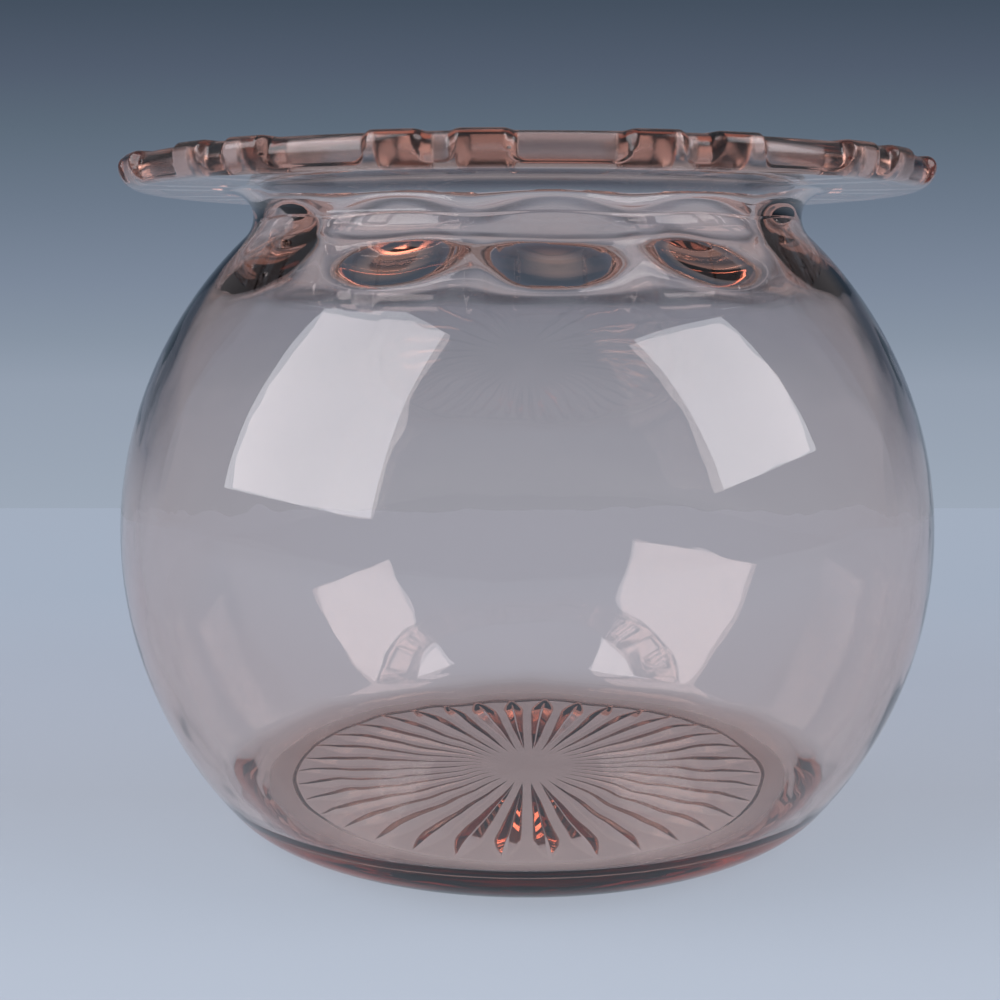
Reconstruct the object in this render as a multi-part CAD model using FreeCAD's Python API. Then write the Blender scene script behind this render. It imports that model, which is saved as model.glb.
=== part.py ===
import FreeCAD, Part
import math
import os

# Body of the bowl
bowl_radius = 85.0
bowl_centre_height = 59.5
wall = 3.0
heel_radius = 16.5
floor_height = 8.3
inner_heel_radius = 6.0
foot_recess = 0.7
foot_ring_width = 1.5
recess_draft = 0.3

# Neck between the body and the brim
waist_radius = 56.4
shoulder_cove_radius = 5.7
neck_cove_radius = 4.8

# Brim with its thick edge, and the blocks that run from the edge to the mouth
brim_radius = 82.2
edge_curl_radius = 4.0
edge_top_round = 2.0
edge_thickness = 8.6
pocket_cove = 1.0
pocket_crown = 1.0
block_inner_radius = 64.5

# Cone steps that stand for the short arcs and for the inside of the wall
heel_steps = 2
cove_steps = 1
neck_steps = 2
curl_steps = 3
inside_steps = 5

# Panels pressed in the outer face of the edge, wide and narrow in turn
lobe_count = 12
turn_degrees = -85.2
wide_panel_share = 0.45
narrow_panel_share = 0.13
wide_panel_depth = 5.0
narrow_panel_depth = 3.2
panel_foot_rise = 0.9
panel_corner = 1.6

# Rayed star pressed in the recess of the underside
ray_count = 36
ray_inner_radius = 10.0
ray_widest_radius = 42.0
ray_outer_radius = 51.0
ray_half_width = 2.5
ray_depth = 1.6

# Heights and radii that follow from the ones above
shoulder_radius = waist_radius + shoulder_cove_radius
shoulder_reach = bowl_radius + shoulder_cove_radius
waist_height = bowl_centre_height + math.sqrt(shoulder_reach ** 2 - shoulder_radius ** 2)
brim_underside = waist_height + neck_cove_radius
brim_top = brim_underside + wall
rim_height = brim_underside + edge_curl_radius + edge_top_round
edge_inner_radius = brim_radius - edge_thickness
lip_radius = waist_radius + neck_cove_radius


def at(radius, height):
    return FreeCAD.Vector(radius, 0, height)


body_centre = at(0, bowl_centre_height)
shoulder_centre = at(shoulder_radius, waist_height)
neck_centre = at(lip_radius, waist_height)


def on_arc(centre, radius, degrees):
    angle = math.radians(degrees)
    return centre + at(radius * math.cos(angle), radius * math.sin(angle))


# A true arc for the steps None, and otherwise that many straight steps along it
def arc(centre, radius, first, last, steps=None):
    if steps is None:
        middle = on_arc(centre, radius, (first + last) / 2)
        ends = on_arc(centre, radius, first), on_arc(centre, radius, last)
        return [Part.Arc(ends[0], middle, ends[1]).toShape()]
    points = []
    for index in range(steps + 1):
        degrees = first + (last - first) * index / steps
        points.append(on_arc(centre, radius, degrees))
    return [Part.makeLine(a, b) for a, b in zip(points, points[1:])]


def degrees_of(vector):
    return math.degrees(math.atan2(vector.z, vector.x))


def heel_centre(body_radius, corner_radius, base_height):
    height = base_height + corner_radius
    reach = body_radius - corner_radius
    drop = bowl_centre_height - height
    return at(math.sqrt(reach ** 2 - drop ** 2), height)


# Outer side of the profile, from the recess of the foot up to the top of the rim
def outer_side():
    heel = heel_centre(bowl_radius, heel_radius, 0)
    low = degrees_of(heel - body_centre)
    high = degrees_of(shoulder_centre - body_centre)
    curl = at(brim_radius - edge_curl_radius, brim_underside + edge_curl_radius)
    crown = at(brim_radius - edge_top_round, rim_height - edge_top_round)
    ring_edge = at(heel.x - foot_ring_width, 0)
    recess_edge = ring_edge + at(-recess_draft, foot_recess)
    edges = [Part.makeLine(at(0, foot_recess), recess_edge), Part.makeLine(recess_edge, ring_edge)]
    edges += arc(heel, heel_radius, -90, low, heel_steps)
    edges += arc(body_centre, bowl_radius, low, high)
    edges += arc(shoulder_centre, shoulder_cove_radius, 180 + high, 180, cove_steps)
    edges += arc(neck_centre, neck_cove_radius, 180, 90, neck_steps)
    edges += arc(curl, edge_curl_radius, -90, 0, curl_steps)
    edges += arc(crown, edge_top_round, 0, 90, cove_steps)
    return edges


# Inner side of the profile, from the top of the rim down to the floor
def inner_side():
    heel = heel_centre(bowl_radius - wall, inner_heel_radius, floor_height)
    low = degrees_of(heel - body_centre)
    high = degrees_of(shoulder_centre - body_centre)
    block_top = at(block_inner_radius, rim_height)
    edges = [Part.makeLine(block_top, at(lip_radius, brim_top))]
    edges += arc(neck_centre, neck_cove_radius + wall, 90, 180, neck_steps)
    edges += arc(shoulder_centre, shoulder_cove_radius + wall, 180, 180 + high, cove_steps)
    edges += arc(body_centre, bowl_radius - wall, high, low, inside_steps)
    edges += arc(heel, inner_heel_radius, low, -90, heel_steps)
    return edges


# Straight lines close every gap between one edge and the next
def joined(edges):
    result = []
    for edge, follower in zip(edges, edges[1:] + edges[:1]):
        result.append(edge)
        end = edge.valueAt(edge.LastParameter)
        start = follower.valueAt(follower.FirstParameter)
        if (start - end).Length > wall / 1000:
            result.append(Part.makeLine(end, start))
    return result


def turned_bowl():
    axis = Part.makeLine(at(0, floor_height), at(0, foot_recess))
    profile = joined(outer_side() + inner_side() + [axis])
    face = Part.Face(Part.Wire(profile))
    return face.revolve(at(0, 0), FreeCAD.Vector(0, 0, 1), 360)


# Outline of a panel, a tongue with its lower corners cut off, standing across the X axis
def tongue(width, radius):
    half = width / 2
    inset = half - panel_corner
    foot = brim_underside + panel_foot_rise
    top = rim_height + wall
    outline = [(-half, top), (-half, foot + panel_corner), (-inset, foot)]
    outline += [(inset, foot), (half, foot + panel_corner), (half, top), (-half, top)]
    points = [FreeCAD.Vector(radius, across, height) for across, height in outline]
    return Part.Face(Part.makePolygon(points))


def panel_tool(share, depth):
    width = 2 * brim_radius * math.sin(math.pi * share / lobe_count)
    outline = tongue(width, brim_radius - depth)
    return outline.extrude(FreeCAD.Vector(depth + wall, 0, 0))


# A pocket in the brim's top side behind a panel, a sector about the X axis, with blocks left beside it
def pocket_tool(share):
    top = rim_height + wall
    base_end = edge_inner_radius - pocket_cove
    crown_start = rim_height - pocket_crown
    crown_end = edge_inner_radius + pocket_crown + wall
    outline = [(waist_radius, brim_top), (base_end, brim_top)]
    outline += [(edge_inner_radius, brim_top + pocket_cove), (edge_inner_radius, crown_start)]
    outline += [(crown_end, top), (waist_radius, top), (waist_radius, brim_top)]
    face = Part.Face(Part.makePolygon([at(*corner) for corner in outline]))
    degrees = 360.0 * share / lobe_count
    pocket = face.revolve(at(0, 0), FreeCAD.Vector(0, 0, 1), degrees)
    pocket.rotate(at(0, 0), FreeCAD.Vector(0, 0, 1), -degrees / 2)
    return pocket


def around(shape, count, degrees):
    copies = []
    for index in range(count):
        copy = shape.copy()
        copy.rotate(at(0, 0), FreeCAD.Vector(0, 0, 1), degrees + 360.0 * index / count)
        copies.append(copy)
    return copies


def panels_and_pockets():
    half_pitch = 180.0 / lobe_count
    wide = panel_tool(wide_panel_share, wide_panel_depth), pocket_tool(wide_panel_share)
    narrow = panel_tool(narrow_panel_share, narrow_panel_depth), pocket_tool(narrow_panel_share)
    tools = []
    for tool in wide:
        tools += around(tool, lobe_count, turn_degrees)
    for tool in narrow:
        tools += around(tool, lobe_count, turn_degrees + half_pitch)
    return tools


# One ray, pointed at both ends and deepest at its widest place, lying along the X axis
def ray_tool():
    ends = at(ray_inner_radius, foot_recess), at(ray_outer_radius, foot_recess)
    left = FreeCAD.Vector(ray_widest_radius, ray_half_width, foot_recess)
    right = FreeCAD.Vector(ray_widest_radius, -ray_half_width, foot_recess)
    tips = at(ray_widest_radius, foot_recess + ray_depth), at(ray_widest_radius, foot_recess - ray_depth)
    faces = []
    for end in ends:
        for side in (left, right):
            for tip in tips:
                faces.append(Part.Face(Part.makePolygon([end, side, tip, end])))
    return Part.makeSolid(Part.makeShell(faces))


def glass_bowl():
    bowl = turned_bowl()
    bowl = bowl.cut(panels_and_pockets())
    return bowl.cut(around(ray_tool(), ray_count, turn_degrees))


os.makedirs("parts", exist_ok=True)
shape = glass_bowl()
shape.exportStep("parts/glass_bowl.step")
print("height", round(rim_height, 2), "volume", round(shape.Volume), "valid", shape.isValid())
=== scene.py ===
"""Looks of a pink pressed-glass rose bowl: one closed glass shell on a pale table, and two softboxes."""

import math

import bmesh
import bpy
import numpy as np
from mathutils import Matrix, Vector


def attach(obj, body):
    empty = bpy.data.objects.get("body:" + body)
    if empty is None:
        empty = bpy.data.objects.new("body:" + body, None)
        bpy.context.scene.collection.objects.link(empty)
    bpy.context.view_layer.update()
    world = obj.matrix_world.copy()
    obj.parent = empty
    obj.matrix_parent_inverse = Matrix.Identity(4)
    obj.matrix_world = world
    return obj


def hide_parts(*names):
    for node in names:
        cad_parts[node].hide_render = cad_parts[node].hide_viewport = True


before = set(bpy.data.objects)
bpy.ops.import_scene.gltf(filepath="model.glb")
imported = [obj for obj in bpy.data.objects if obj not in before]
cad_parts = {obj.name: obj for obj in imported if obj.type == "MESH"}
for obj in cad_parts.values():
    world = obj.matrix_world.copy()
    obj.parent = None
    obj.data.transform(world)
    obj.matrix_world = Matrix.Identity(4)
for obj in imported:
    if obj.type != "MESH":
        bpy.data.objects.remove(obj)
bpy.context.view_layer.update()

MM = 0.001

# Body of the bowl, in millimetres, with heights from the table
BODY_RADIUS = 85.0
BODY_CENTRE = 59.5
WALL = 3.0
HEEL_RADIUS = 16.5
FLOOR = 8.3
INNER_HEEL_RADIUS = 6.0
RECESS = 0.7
FOOT_RING = 1.5
RECESS_DRAFT = 0.3
RECESS_ROUND = 0.3

# Neck, and the brim with its thick edge and the blocks that reach from the edge to the mouth
WAIST_RADIUS = 56.4
SHOULDER_COVE = 5.7
NECK_COVE = 4.8
BRIM_RADIUS = 82.2
EDGE_CURL = 4.0
EDGE_ROUND = 2.0
EDGE_THICKNESS = 8.6
BLOCK_INNER = 64.5

# Extra glass inside the shoulder, one swelling to each lobe: its mean thickness, the share by which it
# waves round the neck, and the heights where it begins, is thickest and is gone
SHOULDER_EXTRA = 1.9
SHOULDER_WAVE = 0.4
SHOULDER_LOW = 108.0
SHOULDER_THICKEST = 121.0
SHOULDER_HIGH = 130.0

# Lobes of the brim, each with a wide and a narrow panel pressed in its edge, as shares of the lobe
LOBES = 12
TURN = math.radians(-85.2)
WIDE_SHARE = 0.45
NARROW_SHARE = 0.13
WIDE_RADIUS = 80.9
NARROW_RADIUS = 81.2
WIDE_CORNER = 2.6
NARROW_CORNER = 1.9

# A panel's foot, which rises in its corners, the bulge of its face, the drop of its top below the rim,
# and the widths of its soft borders
PANEL_FOOT = 0.7
CORNER_RISE = 0.8
PANEL_BULGE = 2.6
PANEL_DROP = 0.3
PANEL_SOFT = 2.2
FOOT_SOFT = 0.9

# Star of grooves under the foot, with a plain margin inside its first row
RAYS = 36
RAY_INNER = 10.0
RAY_WIDEST = 42.0
RAY_OUTER = 51.0
RAY_HALF_WIDTH = 2.5
RAY_TIP_HALF_WIDTH = 0.01
RAY_DEPTH = 1.6
STAR_MARGIN = 0.5

# Points round one ring of the shell, and the radius of the ring next to a pole
FINE, MIDDLE, COARSE = 1440, 720, 360
POLE_RING = 2.0

# Points along each stretch of the profile
POLE_ROWS = 4
STAR_ROWS = 84
ROUND_ROWS = 5
HEEL_ROWS = 16
BODY_ROWS = 72
COVE_ROWS = 9
UNDERSIDE_ROWS = 12
CURL_ROWS = 26
CROWN_ROWS = 12
BLOCK_TOP_ROWS = 26
BLOCK_END_ROWS = 11
POCKET_SIDE_ROWS = 14
INNER_NECK_ROWS = 14
INNER_SHOULDER_ROWS = 10
INNER_BODY_ROWS = 80
INNER_HEEL_ROWS = 14
FLOOR_ROWS = 10

# Glass: its tint by depth, per metre
WHITE = (1, 1, 1, 1)
GLASS_IOR = 1.5
GLASS_TINT = (0.917, 0.685, 0.583, 1)
TINT_DENSITY = 108.0

# Roughness of the ground foot ring and of the brim above its underside, each with the radii and the
# heights between which it comes in
GROUND_ROUGHNESS = 0.4
GROUND_RADII = 51.5, 52.0
GROUND_HEIGHTS = 0.7, 0.3
BRIM_ROUGHNESS = 0.2
BRIM_RADII = 61.0, 64.0
BRIM_HEIGHTS = 130.6, 131.6

# Waves of the surface, and the ripple of all that lies within the outer wall, the inner side and the
# foot, which comes in between two distances from the body's centre
WAVE_HEIGHT = 0.12
WAVE_SCALE, WAVE_DETAIL = 45.0, 1.0
RIPPLE_SCALE, RIPPLE_DETAIL = 42.0, 2.0
RIPPLE_SHARE = 2.2
INSIDE_REACH = 83.6, 82.8

# Table and backdrop, in metres, both as wide
HALF_WIDTH = 2.5
TABLE_FRONT, TABLE_BACK = -1.2, 0.42
TABLE_TOP = -0.0002
BACKDROP = 1.3
BACKDROP_LOW, BACKDROP_HIGH = -0.5, 1.8
TABLE_ROUGHNESS = 0.6
TABLE_SHINE = 0.1
TABLE_GLOW = 0.7

# Screen colours at places along the table, front to back, and up the backdrop, with each ramp's ends
# The table's stops paint the fall of the studio light: painted shade, lighter at the front and darker
# towards the back
TABLE_RAMP = -0.4, 0.5
TABLE_COLOURS = [
    (-0.2, (200, 210, 222)),
    (-0.098, (190, 199, 213)),
    (-0.059, (185, 194, 208)),
    (0.0, (178, 185, 198)),
    (0.08, (177, 185, 200)),
    (0.22, (172, 183, 199)),
    (TABLE_BACK, (173, 184, 200)),
]
# The backdrop's stops paint the fall of the studio light: painted shade, darker upwards to a dark band and
# lighter again above it
BACKDROP_RAMP = -0.4, 1.2
BACKDROP_COLOURS = [
    (-0.15, (159, 170, 185)),
    (0.0, (148, 159, 175)),
    (0.05, (136, 148, 164)),
    (0.109, (125, 137, 155)),
    (0.19, (109, 122, 139)),
    (0.27, (93, 107, 122)),
    (0.33, (82, 93, 110)),
    (0.4, (68, 80, 95)),
    (0.46, (68, 80, 95)),
    (0.7, (128, 124, 128)),
]

# Light of the room, and the softboxes in metres: name, middle, and the vectors to the side and the top
ROOM_COLOUR = (150, 156, 168)
LAMP_COLOUR = (0.94, 0.95, 1.0)
LAMP_RADIANCE = 3.8
LAMP_TILT = math.radians(-0.85)
SOFTBOXES = [
    ("softbox_left", (-0.690, -0.333, 0.679), (0.22, -0.285, 0.0), (0.07, 0.033, 0.468)),
    ("softbox_right", (0.741, -0.304, 0.661), (0.205, 0.19, 0.046), (-0.074, -0.008, 0.347)),
]

# Camera: pitch, distance in metres from the body's centre, lens and sensor in millimetres, and shift in
# picture widths
CAMERA_PITCH = math.radians(9.6)
CAMERA_DISTANCE = 0.323
CAMERA_NEAR = 0.01
LENS = 53.75
SENSOR = 36
SHIFT_X, SHIFT_Y = -0.0274, 0.0305

# Heights and radii that follow from the sizes above
shoulder_radius = WAIST_RADIUS + SHOULDER_COVE
shoulder_reach = BODY_RADIUS + SHOULDER_COVE
waist = BODY_CENTRE + math.sqrt(shoulder_reach ** 2 - shoulder_radius ** 2)
brim_under = waist + NECK_COVE
brim_top = brim_under + WALL
rim = brim_under + EDGE_CURL + EDGE_ROUND
edge_inner = BRIM_RADIUS - EDGE_THICKNESS
lip = WAIST_RADIUS + NECK_COVE
shoulder_angle = math.degrees(math.atan2(waist - BODY_CENTRE, shoulder_radius))


def arc(radius_at, height_at, radius, first, last, count):
    """Points along an arc of the profile, angles in degrees from the outward direction."""
    angle = np.radians(np.linspace(first, last, count))
    return np.c_[radius_at + radius * np.cos(angle), height_at + radius * np.sin(angle)]


def line(start, end, count):
    """Points along a straight stretch of the profile."""
    return np.linspace(start, end, count)


def heel(body_radius, corner, base):
    """Centre of a heel arc, and the angle at which it meets the body."""
    height = base + corner
    radius = math.sqrt((body_radius - corner) ** 2 - (BODY_CENTRE - height) ** 2)
    return radius, height, math.degrees(math.atan2(height - BODY_CENTRE, radius))


def ease(share):
    """A smooth rise from 0 to 1 where the share goes from 0 to 1."""
    share = np.clip(share, 0, 1)
    return share * share * (3 - 2 * share)


def soft_border(inside, width):
    """A smooth rise across a border, by the distance inside it, to 1 from half the width on."""
    return ease(inside / width + 0.5)


def degrees_round(count):
    """Even angles round a circle."""
    return np.linspace(0, 360, count, endpoint=False)


def degrees_from_middle(degrees, copies):
    """Angle from the middle of the nearest of so many equal parts of a circle, the first centred on 0."""
    pitch = 360 / copies
    return np.abs((degrees + pitch / 2) % pitch - pitch / 2)


class Shell:
    """A closed skin of rings, from the middle of the underside out, up, over the rim and down inside."""

    def __init__(self):
        self.points = []
        self.faces = []
        self.last = []

    def pole(self, height):
        """A point on the axis, joined to the ring before it, if there is one."""
        self.points.append((0.0, 0.0, height))
        point = len(self.points) - 1
        if self.last:
            self.fan(self.last, point)
        self.last = [point]

    def fan(self, ring, point):
        for a, b in zip(ring, ring[1:] + ring[:1]):
            self.faces.append((a, b, point))

    def ring(self, radius, height, count):
        """A ring joined to what is before it. Its radius and height are values or lists round the ring."""
        angle = TURN + np.linspace(0, 2 * np.pi, count, endpoint=False)
        radius = np.broadcast_to(radius, count)
        height = np.broadcast_to(height, count)
        start = len(self.points)
        self.points.extend(zip(radius * np.cos(angle), radius * np.sin(angle), height))
        ring = list(range(start, start + count))
        if len(self.last) == 1:
            self.fan(ring, self.last[0])
        else:
            self.stitch(self.last, ring)
        self.last = ring

    def stitch(self, low, high):
        """Joins two rings, of which the finer has a whole number of points to each step of the other."""
        steps = min(len(low), len(high))
        a, b = len(low) // steps, len(high) // steps
        for i in range(steps):
            below = [low[(i * a + k) % len(low)] for k in range(a + 1)]
            above = [high[(i * b + k) % len(high)] for k in range(b + 1)]
            self.faces.append(tuple(below + above[::-1]))

    def rings(self, profile, count):
        for radius, height in profile:
            self.ring(radius, height, count)

    def mesh(self, name):
        mesh = bpy.data.meshes.new(name)
        mesh.from_pydata((np.array(self.points) * MM).tolist(), [], self.faces)
        work = bmesh.new()
        work.from_mesh(mesh)
        bmesh.ops.recalc_face_normals(work, faces=work.faces)
        work.to_mesh(mesh)
        work.free()
        mesh.shade_smooth()
        return mesh


def ray_groove(radius, count):
    """Depth of the star's grooves round a circle of the underside."""
    across = radius * np.radians(degrees_from_middle(degrees_round(count), RAYS))
    if radius <= RAY_WIDEST:
        share = (radius - RAY_INNER) / (RAY_WIDEST - RAY_INNER)
    else:
        share = math.sin((RAY_OUTER - radius) / (RAY_OUTER - RAY_WIDEST) * math.pi / 2)
    half = max(RAY_HALF_WIDTH * share, RAY_TIP_HALF_WIDTH)
    return RAY_DEPTH * max(share, 0) * np.clip(1 - across / half, 0, 1)


def add_foot(shell):
    radius, height, meet = heel(BODY_RADIUS, HEEL_RADIUS, 0)
    ring_edge = radius - FOOT_RING
    recess_edge = ring_edge - RECESS_DRAFT
    hollow_centre = recess_edge - RECESS_ROUND, RECESS - RECESS_ROUND
    ridge_centre = ring_edge + RECESS_ROUND, RECESS_ROUND
    shell.pole(RECESS)
    for r in np.linspace(POLE_RING, RAY_INNER - STAR_MARGIN, POLE_ROWS):
        shell.ring(r, RECESS, MIDDLE)
    for r in np.linspace(RAY_INNER, RAY_OUTER, STAR_ROWS):
        shell.ring(r, RECESS + ray_groove(r, MIDDLE), MIDDLE)
    shell.rings(arc(*hollow_centre, RECESS_ROUND, 90, 0, ROUND_ROWS), MIDDLE)
    shell.rings(arc(*ridge_centre, RECESS_ROUND, 180, 270, ROUND_ROWS), MIDDLE)
    shell.rings(arc(radius, height, HEEL_RADIUS, -90, meet, HEEL_ROWS), MIDDLE)


def add_body(shell):
    meet = heel(BODY_RADIUS, HEEL_RADIUS, 0)[2]
    body = arc(0, BODY_CENTRE, BODY_RADIUS, meet, shoulder_angle, BODY_ROWS)
    shoulder = arc(shoulder_radius, waist, SHOULDER_COVE, 180 + shoulder_angle, 180, COVE_ROWS)
    neck = arc(lip, waist, NECK_COVE, 180, 90, COVE_ROWS)
    underside = line((lip, brim_under), (BRIM_RADIUS - EDGE_CURL, brim_under), UNDERSIDE_ROWS)
    for stretch in (body, shoulder, neck):
        shell.rings(stretch[1:], MIDDLE)
    shell.rings(underside[1:-1], MIDDLE)


def block_profile():
    """The edge where a block is, from the brim's underside over the rim to the lip of the mouth."""
    curl_centre = BRIM_RADIUS - EDGE_CURL, brim_under + EDGE_CURL
    crown_centre = BRIM_RADIUS - EDGE_ROUND, rim - EDGE_ROUND
    return np.vstack([
        arc(*curl_centre, EDGE_CURL, -90, 0, CURL_ROWS),
        arc(*crown_centre, EDGE_ROUND, 0, 90, CROWN_ROWS)[1:],
        line((BRIM_RADIUS - EDGE_ROUND, rim), (BLOCK_INNER, rim), BLOCK_TOP_ROWS)[1:],
        line((BLOCK_INNER, rim), (lip, brim_top), BLOCK_END_ROWS)[1:],
    ])


def panel_profile(block, radius):
    """The edge where a panel is, with its pocket behind it, row for row beside the block's profile."""
    top = rim - PANEL_DROP
    outer_rows = CURL_ROWS + CROWN_ROWS - 1
    share = (block[:outer_rows, 1] - brim_under) / (rim - brim_under)
    bulge = np.sqrt(np.clip(1 - (2 * share - 1) ** 2, 0, 1))
    outer = np.c_[radius - PANEL_BULGE * (1 - bulge), brim_under + share * (top - brim_under)]
    crown = radius - PANEL_BULGE
    angle = np.radians(np.linspace(90, 180, POCKET_SIDE_ROWS))
    side = np.c_[crown + (crown - edge_inner) * np.cos(angle), brim_top + (top - brim_top) * np.sin(angle)]
    floor_rows = BLOCK_TOP_ROWS + BLOCK_END_ROWS - POCKET_SIDE_ROWS
    return np.vstack([outer, side[1:], line((edge_inner, brim_top), (lip, brim_top), floor_rows)[1:]])


def add_edge(shell):
    """The brim's edge, its radius and height blended from block to panel round the rim."""
    block = block_profile()
    wide_panel = panel_profile(block, WIDE_RADIUS)
    narrow_panel = panel_profile(block, NARROW_RADIUS)
    half_pitch = 180 / LOBES
    mm_per_degree = np.radians(1) * BRIM_RADIUS
    columns = []
    for turn in degrees_from_middle(degrees_round(FINE), LOBES):
        in_wide = (WIDE_SHARE * half_pitch - turn) * mm_per_degree
        in_narrow = (turn - (1 - NARROW_SHARE) * half_pitch) * mm_per_degree
        if in_wide > in_narrow:
            inside, corner, panel = in_wide, WIDE_CORNER, wide_panel
        else:
            inside, corner, panel = in_narrow, NARROW_CORNER, narrow_panel
        side = min(max((corner - inside) / corner, 0), 1)
        foot = brim_under + PANEL_FOOT + corner * (1 - math.sqrt(1 - side * side)) * CORNER_RISE
        share = np.full(len(block), soft_border(inside, PANEL_SOFT))
        share[:CURL_ROWS] *= soft_border(block[:CURL_ROWS, 1] - foot, FOOT_SOFT)
        columns.append(block * (1 - share[:, None]) + panel * share[:, None])
    for row in np.swapaxes(columns, 0, 1):
        shell.ring(row[:, 0], row[:, 1], FINE)


def shoulder_extra(height):
    """Mean thickness of the extra glass inside the shoulder at a height."""
    rise = ease((height - SHOULDER_LOW) / (SHOULDER_THICKEST - SHOULDER_LOW))
    return SHOULDER_EXTRA * rise * ease((SHOULDER_HIGH - height) / (SHOULDER_HIGH - SHOULDER_THICKEST))


def add_thickened(shell, points, centre, sign):
    """Rings along an arc, moved by the extra glass from the arc's centre, or to it where the sign is -1."""
    away = points - centre
    length = np.hypot(away[:, 0], away[:, 1])[:, None]
    moves = sign * away / length * shoulder_extra(points[:, 1])[:, None]
    wave = 1 + SHOULDER_WAVE * np.cos(LOBES * np.radians(degrees_round(COARSE)))
    for (radius, height), (out, up) in zip(points, moves):
        shell.ring(radius + out * wave, height + up * wave, COARSE)


def add_inside(shell):
    radius, height, meet = heel(BODY_RADIUS - WALL, INNER_HEEL_RADIUS, FLOOR)
    shoulder_end = 180 + shoulder_angle
    neck = arc(lip, waist, NECK_COVE + WALL, 90, 180, INNER_NECK_ROWS)
    shoulder = arc(shoulder_radius, waist, SHOULDER_COVE + WALL, 180, shoulder_end, INNER_SHOULDER_ROWS)
    body = arc(0, BODY_CENTRE, BODY_RADIUS - WALL, shoulder_angle, meet, INNER_BODY_ROWS)
    add_thickened(shell, neck[1:], (lip, waist), 1)
    add_thickened(shell, shoulder[1:], (shoulder_radius, waist), 1)
    add_thickened(shell, body[1:], (0, BODY_CENTRE), -1)
    shell.rings(arc(radius, height, INNER_HEEL_RADIUS, meet, -90, INNER_HEEL_ROWS)[1:], COARSE)
    shell.rings(line((radius, FLOOR), (POLE_RING, FLOOR), FLOOR_ROWS)[1:], COARSE)
    shell.pole(FLOOR)


def glass_shell():
    shell = Shell()
    add_foot(shell)
    add_body(shell)
    add_edge(shell)
    add_inside(shell)
    return shell.mesh("rose_bowl")


def srgb(*values):
    """A colour as seen on a screen, 0 to 255, as the linear values that nodes hold."""
    shares = [v / 255 for v in values]
    return [s / 12.92 if s <= 0.04045 else ((s + 0.055) / 1.055) ** 2.4 for s in shares] + [1.0]


class Nodes:
    """The nodes of a new material, with the steps that the materials share."""

    def __init__(self, name):
        self.material = bpy.data.materials.new(name)
        self.material.use_nodes = True
        self.tree = self.material.node_tree
        self.tree.nodes.clear()

    def add(self, kind, inputs=None):
        """A new node. Each socket named gets a plain value, or a link from another node's output."""
        node = self.tree.nodes.new(kind)
        for key, value in (inputs or {}).items():
            if isinstance(value, bpy.types.NodeSocket):
                self.tree.links.new(value, node.inputs[key])
            else:
                node.inputs[key].default_value = value
        return node

    def output(self, inputs):
        self.add("ShaderNodeOutputMaterial", inputs)
        return self.material

    def calculate(self, operation, *values):
        node = self.add("ShaderNodeMath", dict(enumerate(values)))
        node.operation = operation
        return node.outputs[0]

    def plus(self, first, second):
        return self.calculate("ADD", first, second)

    def times(self, first, second):
        return self.calculate("MULTIPLY", first, second)

    def length(self, first, second):
        """Length of a line from what it covers in two directions at right angles."""
        squares = self.plus(self.times(first, first), self.times(second, second))
        return self.calculate("SQRT", squares)

    def share_between(self, value, ends):
        """0 before the first of two lengths in millimetres, 1 past the second, and smooth between."""
        inputs = {"Value": value, "From Min": ends[0] * MM, "From Max": ends[1] * MM}
        node = self.add("ShaderNodeMapRange", inputs)
        node.interpolation_type = "SMOOTHSTEP"
        return node.outputs["Result"]

    def noise(self, place, scale, detail):
        inputs = {"Vector": place, "Scale": scale, "Detail": detail}
        return self.add("ShaderNodeTexNoise", inputs).outputs["Fac"]

    def ramp_over(self, axis, ends, stops):
        """A colour ramp along one axis of the object, with its ends and its stops in metres."""
        low, high = ends
        place = self.add("ShaderNodeTexCoord").outputs["Object"]
        split = self.add("ShaderNodeSeparateXYZ", {0: place})
        inputs = {"Value": split.outputs[axis], "From Min": low, "From Max": high}
        share = self.add("ShaderNodeMapRange", inputs).outputs["Result"]
        ramp = self.add("ShaderNodeValToRGB", {"Fac": share})
        points = ramp.color_ramp.elements
        while len(points) < len(stops):
            points.new(0.5)
        for point, (where, colour) in zip(points, stops):
            point.position = (where - low) / (high - low)
            point.color = srgb(*colour)
        return ramp.outputs["Color"]

    def seen_directly(self):
        """1 for rays of the camera and for those that reach a surface by way of the glass, else 0."""
        path = self.add("ShaderNodeLightPath").outputs
        by_glass = self.calculate("MAXIMUM", path["Is Glossy Ray"], path["Is Transmission Ray"])
        return self.calculate("MAXIMUM", path["Is Camera Ray"], by_glass)


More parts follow.
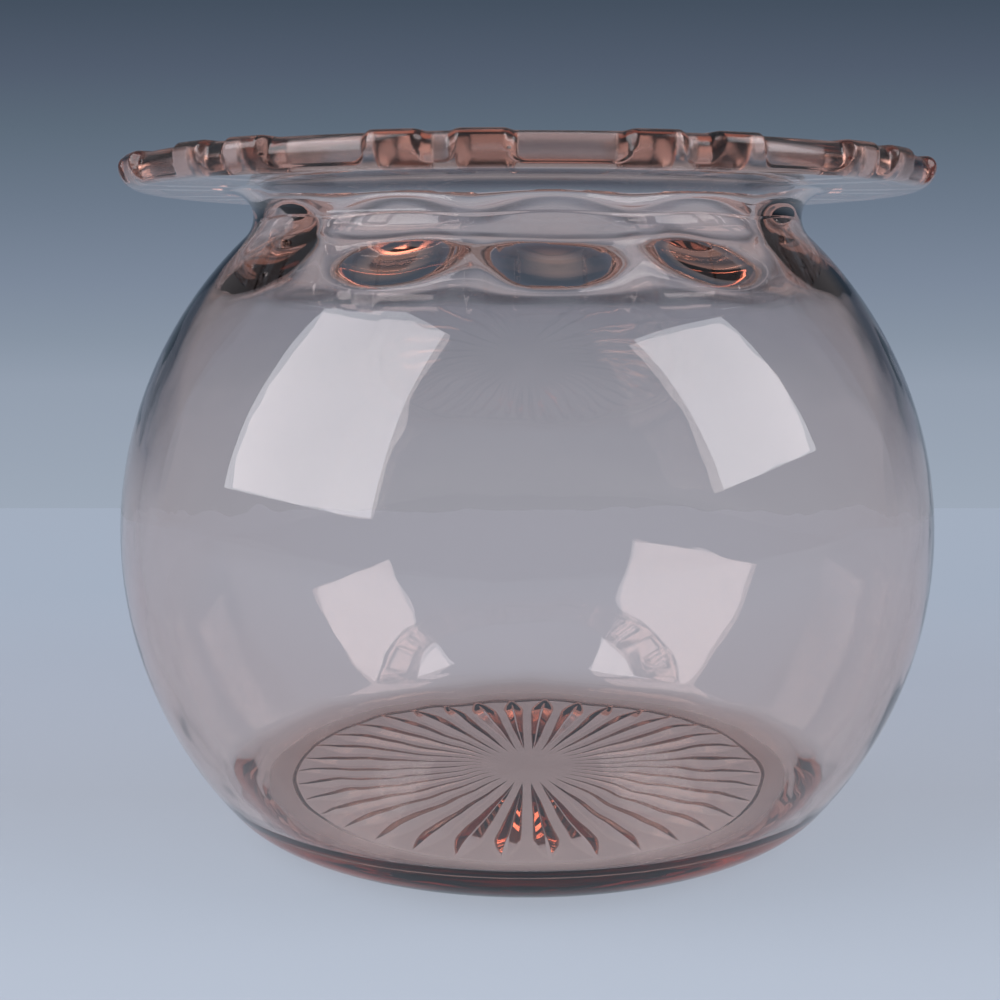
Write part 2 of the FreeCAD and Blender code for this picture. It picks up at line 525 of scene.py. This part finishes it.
def glass_material():
    """Clear glass, pink only by its depth, with soft waves, a ground foot ring and a less clear brim."""
    glass = Nodes("pink_glass")
    place = glass.add("ShaderNodeTexCoord").outputs["Object"]
    x, y, z = glass.add("ShaderNodeSeparateXYZ", {0: place}).outputs
    radius = glass.length(x, y)
    ring = glass.times(glass.share_between(radius, GROUND_RADII), glass.share_between(z, GROUND_HEIGHTS))
    brim = glass.times(glass.share_between(radius, BRIM_RADII), glass.share_between(z, BRIM_HEIGHTS))
    rough = glass.plus(glass.times(ring, GROUND_ROUGHNESS), glass.times(brim, BRIM_ROUGHNESS))
    reach = glass.length(radius, glass.calculate("SUBTRACT", z, BODY_CENTRE * MM))
    inside = glass.share_between(reach, INSIDE_REACH)
    ripple = glass.times(glass.noise(place, RIPPLE_SCALE, RIPPLE_DETAIL), inside)
    waves = glass.plus(glass.noise(place, WAVE_SCALE, WAVE_DETAIL), glass.times(ripple, RIPPLE_SHARE))
    bump = glass.add("ShaderNodeBump", {"Height": waves, "Strength": 1.0, "Distance": WAVE_HEIGHT * MM})
    shader = glass.add("ShaderNodeBsdfPrincipled", {
        "Base Color": WHITE,
        "Transmission Weight": 1.0,
        "IOR": GLASS_IOR,
        "Roughness": rough,
        "Normal": bump.outputs["Normal"],
    })
    depth = glass.add("ShaderNodeVolumeAbsorption", {"Color": GLASS_TINT, "Density": TINT_DENSITY})
    return glass.output({"Surface": shader.outputs["BSDF"], "Volume": depth.outputs["Volume"]})


def table_material():
    """A pale table top, part of its colour a glow that only the camera and the glass see. Its colour ramp
    paints the fall of the light: lighter at the front, darker towards the back.
    """
    table = Nodes("table_top")
    # Painted shade: the ramp makes the table lighter at the front and darker towards the back
    colour = table.ramp_over("Y", TABLE_RAMP, TABLE_COLOURS)
    shader = table.add("ShaderNodeBsdfPrincipled", {
        "Base Color": colour,
        "Roughness": TABLE_ROUGHNESS,
        "Specular IOR Level": TABLE_SHINE,
    })
    glow = table.add("ShaderNodeEmission", {"Color": colour})
    share = table.times(table.seen_directly(), TABLE_GLOW)
    inputs = {0: share, 1: shader.outputs["BSDF"], 2: glow.outputs["Emission"]}
    mix = table.add("ShaderNodeMixShader", inputs)
    return table.output({"Surface": mix.outputs["Shader"]})


def backdrop_material():
    backdrop = Nodes("backdrop")
    # Painted shade: a glowing ramp, darker upwards to a dark band and lighter again above it
    colour = backdrop.ramp_over("Z", BACKDROP_RAMP, BACKDROP_COLOURS)
    glow = backdrop.add("ShaderNodeEmission", {"Color": colour})
    return backdrop.output({"Surface": glow.outputs["Emission"]})


def add_bowl():
    mesh = glass_shell()
    mesh.materials.append(glass_material())
    bowl = bpy.data.objects.new("rose_bowl", mesh)
    bpy.context.scene.collection.objects.link(bowl)
    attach(bowl, "root")
    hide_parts("glass_bowl")


def flat_piece(name, near, far, surface):
    """A flat piece of the stage between two edges across the scene, each given by its y and z."""
    corners = [(-HALF_WIDTH, *near), (HALF_WIDTH, *near), (HALF_WIDTH, *far), (-HALF_WIDTH, *far)]
    mesh = bpy.data.meshes.new(name)
    mesh.from_pydata(corners, [], [(0, 1, 2, 3)])
    mesh.materials.append(surface)
    piece = bpy.data.objects.new(name, mesh)
    bpy.context.scene.collection.objects.link(piece)


def add_stage():
    flat_piece("table_top", (TABLE_FRONT, TABLE_TOP), (TABLE_BACK, TABLE_TOP), table_material())
    flat_piece("backdrop", (BACKDROP, BACKDROP_LOW), (BACKDROP, BACKDROP_HIGH), backdrop_material())


def add_world():
    world = bpy.data.worlds.new("studio")
    bpy.context.scene.world = world
    world.use_nodes = True
    background = world.node_tree.nodes["Background"]
    background.inputs["Color"].default_value = srgb(*ROOM_COLOUR)
    background.inputs["Strength"].default_value = 1.0


def softbox(name, centre, right, up):
    """A soft rectangle of light. The vectors right and up reach from its centre to its side and its top."""
    middle = Vector((0, 0, BODY_CENTRE * MM))
    tilt = Matrix.Rotation(LAMP_TILT, 3, "X")
    centre = tilt @ (Vector(centre) - middle) + middle
    right, up = tilt @ Vector(right), tilt @ Vector(up)
    lamp = bpy.data.lights.new(name, "AREA")
    lamp.shape = "RECTANGLE"
    lamp.color = LAMP_COLOUR
    lamp.size, lamp.size_y = 2 * right.length, 2 * up.length
    lamp.energy = LAMP_RADIANCE * math.pi * lamp.size * lamp.size_y
    across, along = right.normalized(), up.normalized()
    turn = Matrix((across, along, across.cross(along))).transposed().to_4x4()
    piece = bpy.data.objects.new(name, lamp)
    piece.matrix_world = Matrix.Translation(centre) @ turn
    bpy.context.scene.collection.objects.link(piece)


def add_lamps():
    for name, centre, right, up in SOFTBOXES:
        softbox(name, centre, right, up)


def add_camera():
    lens = bpy.data.cameras.new("camera")
    lens.sensor_width = SENSOR
    lens.lens = LENS
    lens.shift_x = SHIFT_X
    lens.shift_y = SHIFT_Y
    lens.clip_start = CAMERA_NEAR
    camera = bpy.data.objects.new("camera", lens)
    back = CAMERA_DISTANCE * math.cos(CAMERA_PITCH)
    up = CAMERA_DISTANCE * math.sin(CAMERA_PITCH)
    camera.location = (0, -back, BODY_CENTRE * MM + up)
    camera.rotation_euler = (math.pi / 2 - CAMERA_PITCH, 0, 0)
    bpy.context.scene.collection.objects.link(camera)
    bpy.context.scene.camera = camera


add_bowl()
add_stage()
add_world()
add_lamps()
add_camera()
bpy.context.scene.view_settings.view_transform = "Standard"
